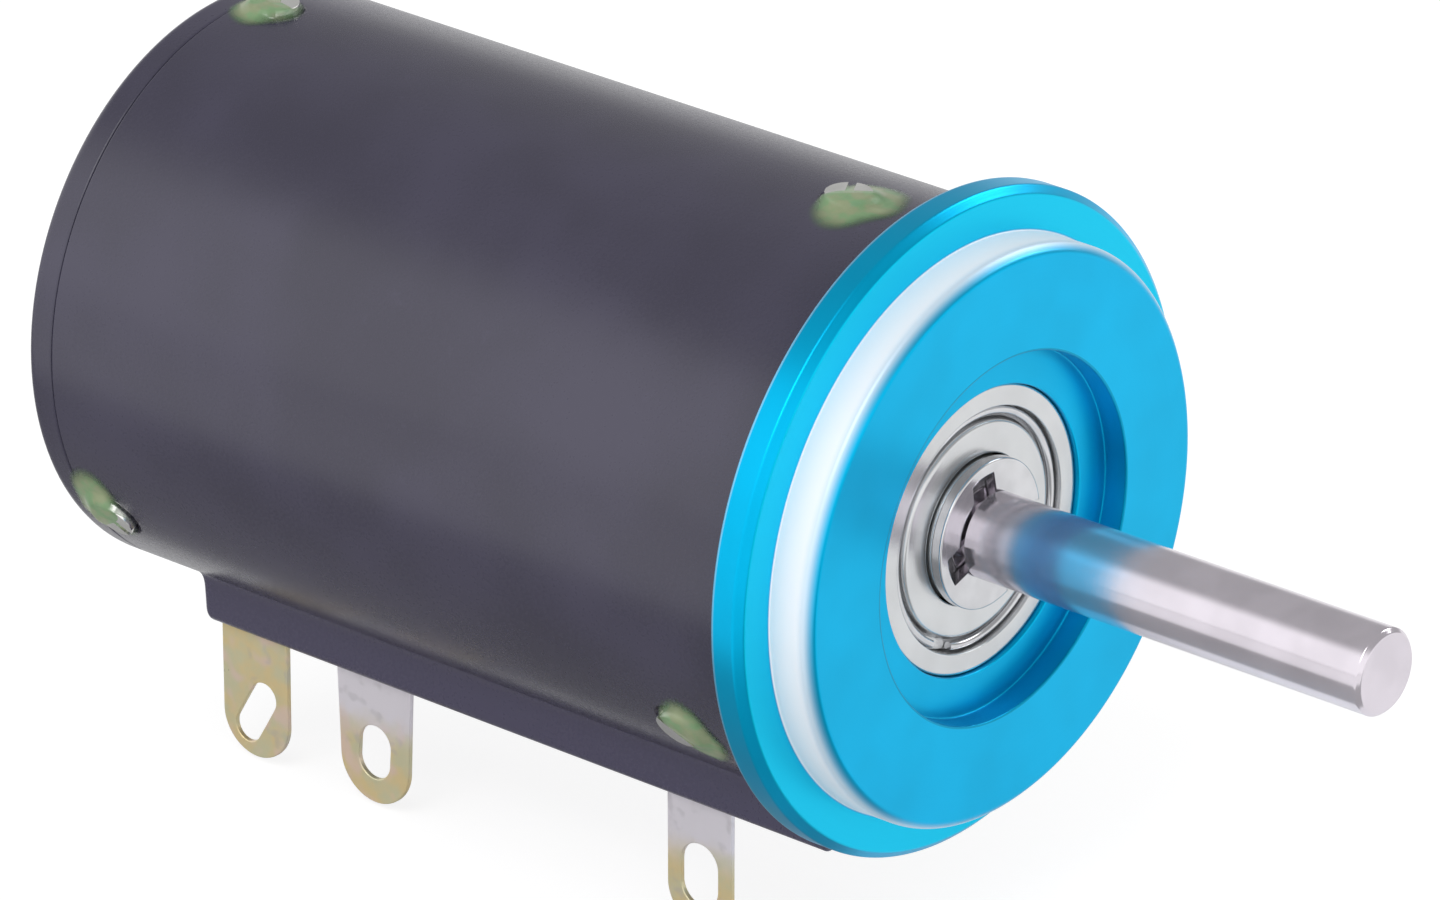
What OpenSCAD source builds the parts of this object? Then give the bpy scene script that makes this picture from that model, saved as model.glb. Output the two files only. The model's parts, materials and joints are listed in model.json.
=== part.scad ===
// Servo-mount ten-turn potentiometer.
// The shaft lies along +X, the solder lugs point to -Z, and the origin is the
// centre of the front mounting face, where the pilot meets the flange.

/* [Housing] */
// Outside diameter of the moulded housing
housing_d = 20.5; // [16:0.1:30]
// Thickness of the housing wall
housing_wall = 1.5; // [1.2:0.05:2]
// Length of the housing tube
housing_len = 30.2; // [24:0.1:45]
// Dark joint left between the flange and the housing
joint_gap = 0.1; // [0.05:0.01:0.2]
// Thickness of the rear cover's rim
cover_rim = 1.1; // [0.8:0.05:2]
// How far the rear cover plugs into the housing
cover_plug = 3.4; // [2.8:0.1:5]

/* [Terminal bar] */
// Width of the terminal bar across the housing
bar_w = 11.2; // [8:0.1:13]
// How far the bar stands below the round of the housing
bar_drop = 0.15; // [0.05:0.05:1.5]
// Distance from the bar's rear end to the rear end of the housing
bar_setback = 2.5; // [1:0.1:5]
// Corner radius along the bottom edges of the bar
bar_round = 0.4; // [0.1:0.05:0.8]

/* [Flange] */
// How far the flange stands out past the housing
flange_lip = 1.25; // [0.6:0.05:2.5]
// Thickness of the flange disc
flange_t = 1.2; // [0.8:0.1:3]
// Chamfer on the rear edge of the flange
flange_chamfer = 0.12; // [0.05:0.01:0.3]
// Bevel on the front edges of the flange and of its pilot
front_bevel = 0.28; // [0.1:0.02:0.4]
// Width of the ring-shaped mounting face around the pilot
mount_land = 1.5; // [1:0.1:2.5]
// Height of the pilot above the mounting face
pilot_h = 1.7; // [1:0.1:3]
// Diameter of the recess in the pilot's face
recess_d = 12.8; // [11.2:0.1:13.5]
// Depth of that recess
recess_depth = 0.9; // [0.4:0.05:1.5]
// How far the flange plugs into the housing
flange_plug = 6.2; // [5:0.1:8]
// Diameter of the passage behind the front bearing
passage_d = 7.6; // [7:0.1:8.6]

/* [Shaft] */
// Shaft diameter
shaft_d = 3; // [2.4:0.05:4]
// Reach of the shaft in front of the mounting face
shaft_reach = 17.3; // [12:0.1:30]
// Chamfer at the shaft's tip
shaft_chamfer = 0.15; // [0.05:0.05:0.4]
// Diameter left in the retaining ring's groove
groove_d = 2; // [1.6:0.05:2.3]
// Outside diameter of the retaining ring
clip_d = 5.2; // [4.6:0.1:6]
// Thickness of the retaining ring
clip_t = 0.42; // [0.3:0.02:0.6]
// Width of the groove beyond the ring's thickness
groove_play = 0.1; // [0.08:0.01:0.2]
// Direction that the retaining ring's mouth faces
clip_mouth_a = -30; // [-180:5:180]

/* [Bearings] */
// Outside diameter of the front bearing
front_od = 10; // [9.2:0.1:12]
// Width of the front bearing
front_w = 4; // [3.6:0.1:4.6]
// Ball diameter in the front bearing
front_ball_d = 1.6; // [1.4:0.05:1.7]
// How far the front bearing sits below the recess floor
front_sink = 0.15; // [0:0.05:0.5]
// Outside diameter of the rear bearing
rear_od = 8; // [7.4:0.1:9]
// Width of the rear bearing
rear_w = 3; // [2.8:0.1:3.2]
// Ball diameter in the rear bearing
rear_ball_d = 1.1; // [0.9:0.05:1.2]
// Balls in each bearing
ball_count = 7; // [5:1:8]

/* [Winding] */
// Turns of the resistance element
turns = 10; // [5:1:12]
// Diameter of the wound mandrel
winding_d = 0.9; // [0.6:0.05:1]

/* [Rotor] */
// Thickness of each rotor disc
disc_t = 1; // [0.8:0.1:1.5]
// Gap between the rotor discs and the spigot faces
disc_gap = 0.4; // [0.3:0.05:0.6]
// Ring of space between the rotor discs and the winding
disc_margin = 1.0; // [0.9:0.05:1.4]
// Diameter of the two rods between the rotor discs
rod_d = 1.1; // [0.8:0.05:1.4]
// Width of the wiper carriage along the shaft
carriage_w = 1.6; // [1.2:0.1:2.4]

/* [Terminals] */
// Width of the solder lug nearest the rear
lug_w = 3; // [2.4:0.05:3.2]
// Thickness of each solder lug
lug_t = 0.2; // [0.2:0.05:0.5]
// Reach of each lug below the bar
lug_reach = 4.8; // [4:0.1:8]
// Width of the wire slot in that lug
eye_w = 1.15; // [0.8:0.05:1.3]
// Length of the wire slot in that lug
eye_len = 2.6; // [2.3:0.1:3]
// Height of that slot's centre above the lug's tip
eye_height = 1.7; // [1.6:0.05:1.9]
// Depth of the lugs' plane behind the bar's near side
lug_inset = 0.6; // [0.4:0.05:1.2]

/* [Screws] */
// Head diameter of the housing screws
screw_head_d = 1.6; // [1.4:0.1:2.2]
// Head height of the housing screws
screw_head_h = 0.5; // [0.4:0.05:0.9]
// Thread diameter of the housing screws
screw_d = 1; // [0.8:0.05:1.2]
// Length under the head of the housing screws
screw_len = 2.8; // [2.2:0.1:3.4]
// Distance from the flange's rear face to the front screws
front_screw_setback = 3.8; // [2.5:0.1:4.5]
// Distance from the housing's rear end to the rear screws
rear_screw_setback = 1.2; // [1.1:0.1:1.8]

/* [Hidden] */
$fn = 96;
eps = 0.01;               // overshoot of a cut
fit = 0.02;               // radial clearance where pieces are assembled tight
run = 0.05;               // radial clearance where pieces run on each other
contact_gap = 0.08;       // clearance at a sliding electrical contact

// Housing and flange
housing_r = housing_d / 2;
bore_r = housing_r - housing_wall;
flange_r = housing_r + flange_lip;
pilot_r = flange_r - mount_land;
housing_x0 = -flange_t - joint_gap;
housing_x1 = housing_x0 - housing_len;
cover_x1 = housing_x1 - cover_rim;
plug_x = -flange_t - flange_plug;
cover_plug_x = housing_x1 + cover_plug;
bar_z = -housing_r - bar_drop;
bar_x1 = housing_x1 + bar_setback;
seam_groove = 0.08;       // depth and width of the line at the rear cover

// Bearings: [bore radius, outer radius, width, ball radius, shield seat depth]
front_bearing = [shaft_d / 2, front_od / 2, front_w, front_ball_d / 2, 0.62];
rear_bearing = [shaft_d / 2, rear_od / 2, rear_w, rear_ball_d / 2, 0.5];
recess_floor_x = pilot_h - recess_depth;
front_bearing_x = recess_floor_x - front_sink;
rear_bearing_x = cover_plug_x;
shield_t = 0.14;          // sheet thickness of the shields
snap_wire_r = 0.15;       // wire radius of the shields' snap rings
snap_gap_a = 14;          // gap between the ends of a snap ring
snap_mouth_a = 245;       // direction of that gap
function pitch_r(b) = (b[0] + b[1]) / 2;
function inner_land_r(b) = pitch_r(b) - 0.9 * b[3];
function outer_land_r(b) = pitch_r(b) + 0.9 * b[3];
function rabbet_r(b) = outer_land_r(b) + 0.28;

// Rotor: the discs run in the cavity between the two plugs
disc_x0 = plug_x - disc_gap;
disc_x1 = cover_plug_x + disc_gap;
carriage_space = disc_x0 - disc_x1 - 2 * disc_t;
end_gap = 0.2;            // carriage to disc at the end of its travel
pitch = (carriage_space - carriage_w - 2 * end_gap) / turns;
mid_x = (disc_x0 + disc_x1) / 2;
winding_r = bore_r - 0.1 - winding_d / 2;
winding_in_r = winding_r - winding_d / 2;
disc_r = winding_in_r - disc_margin;
hub_r = shaft_d / 2 + 0.9;
carriage_r = disc_r - 0.4;
carriage_bore_r = shaft_d / 2 + 0.6;
rod_orbit = (carriage_r + carriage_bore_r) / 2;
ring_w = disc_t - 0.2;
ring_r = disc_r + 0.1;

// Terminals: flat lugs in one plane just inside the bar's side
lug_y = -(bar_w / 2 - lug_inset);
lug_tip_z = bar_z - lug_reach;
strap_t = 0.25;           // thickness of the leads laid in the wiring groove
strap_w = 0.8;            // width of those leads
strap_r = bore_r + 0.1;   // radius of their inner face
groove_r = strap_r + strap_t + 0.15;
lug_top_r = groove_r;
lug_top_z = -sqrt(lug_top_r * lug_top_r - lug_y * lug_y);
lead_a = atan2(lug_top_z, lug_y);
lug_pocket = 0.01;        // clearance of the lugs in the moulding
slider_x = disc_x1 + disc_t / 2;
lug_front_x = -flange_t - 5.9;
lug_rear_x = bar_x1 + 7.35;
lug_slider_x = bar_x1 + 1.85;
// Each lug: [root width and tip width as shares of lug_w, slot width as a share of
// eye_w, slot length of eye_len, slot height of eye_height, lean of the slot]
slider_lug = [1, 1, 1, 1, 1, -30];
rear_lug = [1.12, 1.04, 1.22, 0.77, 1.12, -4];
front_lug = [0.93, 0.93, 1.39, 0.9, 1.15, 0];
winding_x0 = mid_x - turns * pitch / 2;
winding_x1 = mid_x + turns * pitch / 2;

// Screws: one on top and two beside the terminal bar
screw_angles = [90, 214, 326];
screw_slot_angles = [120, 130, 75];
screw_slot_w = 0.28;
screw_slot_h = 0.25;      // depth of the slot
spot_r = screw_head_d / 2 + 0.15;
spot_depth = 0.25;
front_screw_x = -flange_t - front_screw_setback;
rear_screw_x = housing_x1 + rear_screw_setback;

// ---------- helpers ----------

// Turns a profile drawn as [radius, x] about the shaft axis
module turned(angle = 360, start = 0)
    multmatrix([[0, 0, 1, 0], [1, 0, 0, 0], [0, 1, 0, 0]])
        rotate([0, 0, start]) rotate_extrude(angle = angle) children();

// Cylinder along the shaft axis between two places
module bar_x(r, x0, x1)
    translate([min(x0, x1), 0, 0]) rotate([0, 90, 0]) cylinder(r = r, h = abs(x1 - x0));

module tube_x(r_out, r_in, x0, x1)
    difference() {
        bar_x(r_out, x0, x1);
        bar_x(r_in, min(x0, x1) - 1, max(x0, x1) + 1);
    }

// Places a child, drawn along +Z, to point outwards at an angle about the shaft
module radial(x, angle) translate([x, 0, 0]) rotate([angle - 90, 0, 0]) children();

// ---------- housing, flange and cover ----------

// End outline of the housing: the round with the terminal bar under it
module bar_outline()
    union() {
        translate([-bar_w / 2 + bar_round, bar_z]) square([bar_w - 2 * bar_round, -bar_z]);
        translate([-bar_w / 2, bar_z + bar_round]) square([bar_w, -bar_z - bar_round]);
        for (side = [-1, 1])
            translate([side * (bar_w / 2 - bar_round), bar_z + bar_round])
                circle(r = bar_round);
    }

module lug_slot(x, w)
    translate([x - w / 2 - lug_pocket, lug_y - lug_t / 2 - lug_pocket, bar_z - 1])
        cube([w + 2 * lug_pocket, lug_t + 2 * lug_pocket, lug_top_z - bar_z + 1 + fit]);

module screw_holes(x)
    for (a = screw_angles) radial(x, a) {
        translate([0, 0, bore_r - 1]) cylinder(d = screw_d + 2 * run, h = housing_wall + 2);
        translate([0, 0, housing_r - spot_depth]) cylinder(r = spot_r, h = 2);
    }

module housing() color("#4a4754")
    difference() {
        union() {
            bar_x(housing_r, housing_x1, housing_x0);
            translate([bar_x1, 0, 0])
                multmatrix([[0, 0, 1, 0], [1, 0, 0, 0], [0, 1, 0, 0]])
                    linear_extrude(housing_x0 - bar_x1) bar_outline();
        }
        bar_x(bore_r, housing_x1 - 1, housing_x0 + 1);
        turned() polygon([[housing_r + 1, housing_x1 - eps], [housing_r - seam_groove, housing_x1 - eps],
            [housing_r, housing_x1 + seam_groove], [housing_r + 1, housing_x1 + seam_groove]]);
        radial(0, lead_a)
            translate([housing_x1 + cover_plug - 1, -strap_w / 2 - 0.3, 0])
                cube([plug_x + 2.4 - (housing_x1 + cover_plug - 1), strap_w + 0.6, groove_r]);
        lug_slot(lug_slider_x, lug_w * slider_lug[0]);
        lug_slot(lug_rear_x, lug_w * rear_lug[0]);
        lug_slot(lug_front_x, lug_w * front_lug[0]);
        screw_holes(front_screw_x);
        screw_holes(rear_screw_x);
    }

module tapped_holes(x)
    for (a = screw_angles) radial(x, a)
        translate([0, 0, bore_r - screw_len]) cylinder(d = screw_d + 2 * fit, h = screw_len + 2);

module front_flange() color("#18aee6")
    difference() {
        turned() polygon([
            [0, plug_x], [bore_r - fit, plug_x], [bore_r - fit, -flange_t],
            [flange_r - flange_chamfer, -flange_t], [flange_r, -flange_t + flange_chamfer],
            [flange_r, -front_bevel], [flange_r - front_bevel, 0], [pilot_r, 0],
            [pilot_r, pilot_h - front_bevel], [pilot_r - front_bevel, pilot_h], [0, pilot_h]]);
        bar_x(recess_d / 2, recess_floor_x, pilot_h + 1);
        bar_x(front_bearing[1] + fit, front_bearing_x - front_w, pilot_h + 1);
        bar_x(passage_d / 2, plug_x - 1, pilot_h);
        tapped_holes(front_screw_x);
    }

module rear_cover() color("#4a4754")
    difference() {
        turned() polygon([
            [0, cover_plug_x], [bore_r - fit, cover_plug_x], [bore_r - fit, housing_x1],
            [housing_r - seam_groove, housing_x1], [housing_r, housing_x1 - seam_groove],
            [housing_r, cover_x1 + 0.3], [housing_r - 0.3, cover_x1], [0, cover_x1]]);
        bar_x(rear_bearing[1] + fit, rear_bearing_x - rear_w, cover_plug_x + 1);
        bar_x(pitch_r(rear_bearing), rear_bearing_x - rear_w - 0.6, cover_plug_x);
        tapped_holes(rear_screw_x);
    }

// ---------- shaft and its retaining ring ----------

clip_x = front_bearing_x + fit;
groove_x1 = clip_x - fit + clip_t + groove_play;
shaft_x1 = rear_bearing_x - rear_w - 0.3;

module shaft() color("#c9c2cf")
    turned() polygon([
        [0, shaft_x1], [shaft_d / 2 - shaft_chamfer, shaft_x1],
        [shaft_d / 2, shaft_x1 + shaft_chamfer],
        [shaft_d / 2, clip_x - fit], [groove_d / 2, clip_x - fit],
        [groove_d / 2, groove_x1], [shaft_d / 2, groove_x1],
        [shaft_d / 2, shaft_reach - shaft_chamfer],
        [shaft_d / 2 - shaft_chamfer, shaft_reach], [0, shaft_reach]]);

// E-shaped ring: three prongs in the groove, two windows and an open mouth
module retaining_ring() color("#b9b6ba") {
    window_r = clip_d / 2 - 0.45;
    window_w = 1.1;
    window_a = 131;
    prong_r = groove_d / 2 + fit;
    multmatrix([[0, 0, 1, clip_x], [1, 0, 0, 0], [0, 1, 0, 0]])
        linear_extrude(clip_t)
            rotate(clip_mouth_a)
                difference() {
                    circle(d = clip_d);
                    circle(r = prong_r);
                    intersection() {
                        circle(r = window_r);
                        for (side = [-1, 1])
                            rotate(side * window_a) translate([0, -window_w / 2])
                                square([window_r, window_w]);
                    }
                    translate([0, -prong_r * 0.92]) square([clip_d, prong_r * 1.84]);
                    translate([clip_d * 0.46, 0]) circle(d = clip_d * 0.62);
                }
}

// ---------- ball bearings ----------

// Outer ring with a rabbet at each side for its shield
module bearing_outer(b, x) color("#d8d6da") {
    r0 = rabbet_r(b);
    ch = 0.1;
    difference() {
        turned() polygon([
            [outer_land_r(b), x - b[4]], [r0, x - b[4]], [r0, x], [b[1] - ch, x], [b[1], x - ch],
            [b[1], x - b[2] + ch], [b[1] - ch, x - b[2]], [r0, x - b[2]],
            [r0, x - b[2] + b[4]], [outer_land_r(b), x - b[2] + b[4]]]);
        race(b, x);
    }
}

module bearing_inner(b, x) color("#d8d6da") {
    ch = 0.08;
    difference() {
        turned() polygon([
            [b[0] + fit, x - ch], [b[0] + fit + ch, x], [inner_land_r(b), x],
            [inner_land_r(b), x - b[2]], [b[0] + fit + ch, x - b[2]], [b[0] + fit, x - b[2] + ch]]);
        race(b, x);
    }
}

// Groove that both rings share for the balls
module race(b, x) turned() translate([pitch_r(b), x - b[2] / 2]) circle(r = b[3] + run, $fn = 48);

module ball_ring(b, x, r)
    for (i = [0 : ball_count - 1])
        radial(x - b[2] / 2, 90 + i * 360 / ball_count) translate([0, 0, pitch_r(b)]) sphere(r = r, $fn = 32);

module bearing_balls(b, x) color("#e4e4e8") ball_ring(b, x, b[3]);

module bearing_cage(b, x) color("#b08a4a") {
    half_w = b[3] + 0.2;
    difference() {
        tube_x(pitch_r(b) + 0.4 * b[3], pitch_r(b) - 0.4 * b[3],
            x - b[2] / 2 - half_w, x - b[2] / 2 + half_w);
        ball_ring(b, x, b[3] + run);
    }
}

// Dished sheet shield seen from outside, its rim on the rabbet's floor
module shield_profile(b) {
    rim_r = rabbet_r(b) - run;
    step_r = rim_r - 2 * snap_wire_r - 0.2;
    face = -0.14;
    seat = -b[4] + shield_t;
    polygon([
        [inner_land_r(b) + 0.08, face], [step_r, face], [step_r + 0.1, seat], [rim_r, seat],
        [rim_r, seat - shield_t], [step_r - 0.03, seat - shield_t],
        [step_r - shield_t, face - shield_t], [inner_land_r(b) + 0.08, face - shield_t]]);
}

// One of a thing at each side of a bearing, drawn for the front side
module both_sides(b, x) {
    translate([x, 0, 0]) children();
    translate([x - b[2], 0, 0]) mirror([1, 0, 0]) children();
}

module bearing_shields(b, x) color("#dedbe0") both_sides(b, x) turned() shield_profile(b);

module bearing_snap_rings(b, x) color("#a8a79a") both_sides(b, x)
    turned(360 - snap_gap_a, snap_mouth_a + snap_gap_a / 2)
        translate([rabbet_r(b) - run - snap_wire_r, -b[4] + shield_t + snap_wire_r + fit])
            circle(r = snap_wire_r, $fn = 16);

module front_bearing_outer() bearing_outer(front_bearing, front_bearing_x);
module front_bearing_inner() bearing_inner(front_bearing, front_bearing_x);
module front_bearing_balls() bearing_balls(front_bearing, front_bearing_x);
module front_bearing_cage() bearing_cage(front_bearing, front_bearing_x);
module front_bearing_shields() bearing_shields(front_bearing, front_bearing_x);
module front_bearing_snap_rings() bearing_snap_rings(front_bearing, front_bearing_x);
module rear_bearing_outer() bearing_outer(rear_bearing, rear_bearing_x);
module rear_bearing_inner() bearing_inner(rear_bearing, rear_bearing_x);
module rear_bearing_balls() bearing_balls(rear_bearing, rear_bearing_x);
module rear_bearing_cage() bearing_cage(rear_bearing, rear_bearing_x);
module rear_bearing_shields() bearing_shields(rear_bearing, rear_bearing_x);
module rear_bearing_snap_rings() bearing_snap_rings(rear_bearing, rear_bearing_x);

// ---------- rotor ----------

module spacer_sleeve() color("#c8b070")
    tube_x(hub_r, shaft_d / 2 + fit, disc_x0 + fit, front_bearing_x - front_w - fit);

module shim_washer() color("#c8b070")
    tube_x(hub_r, shaft_d / 2 + fit, rear_bearing_x + fit, disc_x1 - fit);

// Both rods stand on opposite sides of the shaft, in line with the wiper
module at_rods() for (side = [0, 180]) rotate([lead_a + side, 0, 0]) translate([0, rod_orbit, 0]) children();

module rotor_disc(x) color("#2d2b30")
    difference() {
        bar_x(disc_r, x - disc_t, x);
        bar_x(shaft_d / 2 + fit, x - disc_t - 1, x + 1);
        at_rods() bar_x(rod_d / 2 + fit, x - disc_t - 1, x + 1);
    }

module rotor_front_disc() rotor_disc(disc_x0);

module rotor_rear_disc()
    difference() {
        rotor_disc(disc_x1 + disc_t);
        tube_x(disc_r + 1, disc_r - 0.5, slider_x - ring_w / 2 - fit, slider_x + ring_w / 2 + fit);
    }

module rod() bar_x(rod_d / 2, disc_x1, disc_x0);
module guide_rod() color("#b9b6ba")
    rotate([lead_a + 180, 0, 0]) translate([0, rod_orbit, 0]) rod();
module collector_rod() color("#d4b25a")
    rotate([lead_a, 0, 0]) translate([0, rod_orbit, 0]) rod();

module slip_ring() color("#d4b25a")
    tube_x(ring_r, disc_r - 0.5 + fit, slider_x - ring_w / 2, slider_x + ring_w / 2);

// ---------- wiper carriage ----------

wiper_pin_r = 0.4;

module wiper_carriage() color("#e8e2d0")
    difference() {
        bar_x(carriage_r, mid_x - carriage_w / 2, mid_x + carriage_w / 2);
        bar_x(carriage_bore_r, mid_x - carriage_w, mid_x + carriage_w);
        at_rods() bar_x(rod_d / 2 + run, mid_x - carriage_w, mid_x + carriage_w);
        radial(mid_x, lead_a) translate([0, 0, carriage_r - 0.5])
            cylinder(r = wiper_pin_r + fit, h = 2, $fn = 32);
    }

module wiper_pin() color("#d4b25a")
    radial(mid_x, lead_a) {
        pin_tip_r = winding_in_r - contact_gap;
        translate([0, 0, carriage_r - 0.5 + fit])
            cylinder(r = wiper_pin_r, h = pin_tip_r - wiper_pin_r - carriage_r + 0.5 - fit, $fn = 32);
        translate([0, 0, pin_tip_r - wiper_pin_r]) sphere(r = wiper_pin_r, $fn = 32);
    }

// ---------- resistance element and its wiring ----------

// Ring number i of the helix, and its corner number k
winding_sides = 8;
rings_per_turn = 24;
function helix_corner(i, k) =
    let (a = lead_a + 360 * i / rings_per_turn,
         c = 360 * k / winding_sides,
         r = winding_r + winding_d / 2 * cos(c))
    [winding_x0 + pitch * i / rings_per_turn + winding_d / 2 * sin(c), r * cos(a), r * sin(a)];

module resistance_element() color("#a8794a") {
    rings = turns * rings_per_turn;
    side_count = winding_sides;
    polyhedron(
        points = [for (i = [0 : rings]) for (k = [0 : side_count - 1]) helix_corner(i, k)],
        faces = concat(
            [[for (k = [side_count - 1 : -1 : 0]) k]],
            [[for (k = [0 : side_count - 1]) rings * side_count + k]],
            [for (i = [0 : rings - 1]) for (k = [0 : side_count - 1])
                [i * side_count + k, i * side_count + (k + 1) % side_count,
                 (i + 1) * side_count + (k + 1) % side_count, (i + 1) * side_count + k]]));
}

// Lead in the wiring groove from a lug to one end of the winding
module element_strap(x_lug, x_end) color("#d4b25a") {
    foot = 0.5;
    x_low = min(x_lug, x_end) - foot / 2;
    radial(0, lead_a) {
        translate([x_low, -strap_w / 2, strap_r])
            cube([abs(x_end - x_lug) + foot, strap_w, strap_t]);
        translate([x_end - foot / 2, -strap_w / 2, winding_r + winding_d / 2 + fit])
            cube([foot, strap_w, strap_r - winding_r - winding_d / 2]);
    }
}

module element_strap_front() element_strap(lug_front_x, winding_x1);
module element_strap_rear() element_strap(lug_rear_x, winding_x0);

// Leaf spring that leaves the slider's lug and lies tangent to the slip ring
module slip_ring_brush() color("#d4b25a") {
    leaf_t = 0.12;
    leaf_w = ring_w - 0.2;
    root_r = lug_top_r - 0.1;
    touch_r = ring_r + contact_gap + leaf_t / 2;
    reach = sqrt(root_r * root_r - touch_r * touch_r);
    tilt = asin(touch_r / root_r);
    translate([slider_x, root_r * cos(lead_a), root_r * sin(lead_a)])
        rotate([lead_a + 180 - tilt, 0, 0])
            translate([-leaf_w / 2, 0, -leaf_t / 2]) cube([leaf_w, reach + 0.4, leaf_t]);
}

// Flat lug with a round end and a leaning slot; below the bar it can taper
module solder_lug(x, lug) color("#d6c08a") {
    root = lug_w * lug[0] / 2;
    tip = lug_w * lug[1] / 2;
    slot_w = eye_w * lug[2];
    half = (eye_len * lug[3] - slot_w) / 2;
    translate([x, lug_y + lug_t / 2, 0]) rotate([90, 0, 0])
        linear_extrude(lug_t)
            difference() {
                union() {
                    polygon([[-root, lug_top_z], [-root, bar_z], [-tip, lug_tip_z + tip],
                        [tip, lug_tip_z + tip], [root, bar_z], [root, lug_top_z]]);
                    translate([0, lug_tip_z + tip]) circle(r = tip);
                }
                translate([0, lug_tip_z + eye_height * lug[4]]) rotate(lug[5]) {
                    square([slot_w, 2 * half], center = true);
                    for (side = [-1, 1]) translate([0, side * half]) circle(d = slot_w, $fn = 48);
                }
            }
}

module terminal_slider() solder_lug(lug_slider_x, slider_lug);
module terminal_rear() solder_lug(lug_rear_x, rear_lug);
module terminal_front() solder_lug(lug_front_x, front_lug);

// ---------- screws ----------

// Slotted cheese-head screw pointing inwards, its head seated in the spot face
module housing_screw(slot_a)
    translate([0, 0, housing_r - spot_depth]) {
        translate([0, 0, -screw_len]) cylinder(d = screw_d, h = screw_len);
        difference() {
            cylinder(d = screw_head_d, h = screw_head_h);
            rotate(slot_a) translate([-screw_head_d, -screw_slot_w / 2, screw_head_h - screw_slot_h])
                cube([2 * screw_head_d, screw_slot_w, 1]);
        }
    }

module screw_set(x) color("#d0cfc8")
    for (i = [0 : len(screw_angles) - 1])
        radial(x, screw_angles[i]) housing_screw(screw_slot_angles[i]);

module front_screws() screw_set(front_screw_x);
module rear_screws() screw_set(rear_screw_x);

housing();
front_flange();
rear_cover();
shaft();
retaining_ring();
front_bearing_outer();
front_bearing_inner();
front_bearing_balls();
front_bearing_cage();
front_bearing_shields();
front_bearing_snap_rings();
rear_bearing_outer();
rear_bearing_inner();
rear_bearing_balls();
rear_bearing_cage();
rear_bearing_shields();
rear_bearing_snap_rings();
spacer_sleeve();
shim_washer();
rotor_front_disc();
rotor_rear_disc();
guide_rod();
collector_rod();
slip_ring();
wiper_carriage();
wiper_pin();
resistance_element();
element_strap_front();
element_strap_rear();
slip_ring_brush();
terminal_slider();
terminal_rear();
terminal_front();
front_screws();
rear_screws();
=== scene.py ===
"""Looks of a servo-mount ten-turn potentiometer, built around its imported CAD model.

The shaft lies along +X, the solder lugs point to -Z, and the origin is the centre of
the front mounting face. Outlines are worked out in millimetres and put into the
meshes in metres.
"""

import json
import math

import bmesh
import bpy
import numpy as np
from bpy.props import FloatProperty, FloatVectorProperty, PointerProperty
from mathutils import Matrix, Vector


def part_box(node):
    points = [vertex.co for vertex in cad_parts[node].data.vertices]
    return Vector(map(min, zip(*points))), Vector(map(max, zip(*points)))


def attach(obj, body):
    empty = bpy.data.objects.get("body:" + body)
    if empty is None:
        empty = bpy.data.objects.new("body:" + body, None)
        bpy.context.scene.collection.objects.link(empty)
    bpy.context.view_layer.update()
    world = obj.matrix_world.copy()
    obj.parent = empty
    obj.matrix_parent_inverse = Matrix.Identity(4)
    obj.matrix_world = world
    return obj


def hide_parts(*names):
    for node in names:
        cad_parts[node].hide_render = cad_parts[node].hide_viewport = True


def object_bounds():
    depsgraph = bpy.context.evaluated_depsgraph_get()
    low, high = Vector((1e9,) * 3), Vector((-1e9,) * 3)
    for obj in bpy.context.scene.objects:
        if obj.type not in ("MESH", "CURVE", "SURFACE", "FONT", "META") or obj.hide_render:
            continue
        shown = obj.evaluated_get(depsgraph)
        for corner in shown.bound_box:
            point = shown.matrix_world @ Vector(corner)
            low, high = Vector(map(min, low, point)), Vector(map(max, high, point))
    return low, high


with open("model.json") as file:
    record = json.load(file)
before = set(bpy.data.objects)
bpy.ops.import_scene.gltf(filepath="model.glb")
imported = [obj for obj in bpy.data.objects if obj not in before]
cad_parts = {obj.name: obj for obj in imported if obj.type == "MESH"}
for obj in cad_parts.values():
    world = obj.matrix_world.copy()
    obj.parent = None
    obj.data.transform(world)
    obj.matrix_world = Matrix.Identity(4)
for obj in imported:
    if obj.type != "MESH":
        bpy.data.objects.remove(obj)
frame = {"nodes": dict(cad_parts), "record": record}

bl_info = {
    "name": "Ten-turn potentiometer",
    "version": (1, 0, 0),
    "blender": (4, 5, 0),
    "location": "3D View > Sidebar > Potentiometer",
    "description": "Builds the finished surfaces of a servo-mount ten-turn potentiometer",
    "category": "Add Mesh",
}

CAD_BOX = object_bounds()
MM = 1000.0  # millimetres in a metre
FINISHES = {}  # materials by name; each Finish adds its own


# ---------- places taken from the frame, in millimetres ----------

def low(node):
    """Lowest corner of a CAD node's box."""
    return np.array(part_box(node)[0]) * MM


def high(node):
    """Highest corner of a CAD node's box."""
    return np.array(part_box(node)[1]) * MM


HOUSING_R = high("housing")[2]
HOUSING_REAR, HOUSING_FRONT = low("housing")[0], high("housing")[0]
BAR_BOTTOM = low("housing")[2]
FLANGE_R = -low("front_flange")[1]
PILOT_H = high("front_flange")[0]
PLUG_END = low("front_flange")[0]
COVER_REAR, COVER_FRONT = low("rear_cover")[0], high("rear_cover")[0]
SHAFT_R = high("shaft")[2]
BEARING_R = high("front_bearing_outer")[2]
BEARING_REAR, BEARING_FACE = low("front_bearing_outer")[0], high("front_bearing_outer")[0]
SCREW_TOP = high("front_screws")[2]
SCREW_ANGLES = (90, 214, 326)  # degrees round the shaft axis, from +Y towards +Z
SCREW_SETS = {place: (low(place + "_screws")[0] + high(place + "_screws")[0]) / 2
              for place in ("front", "rear")}  # where each set lies along the shaft
FIT = 0.02  # clearance between pieces that are assembled tight
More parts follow.
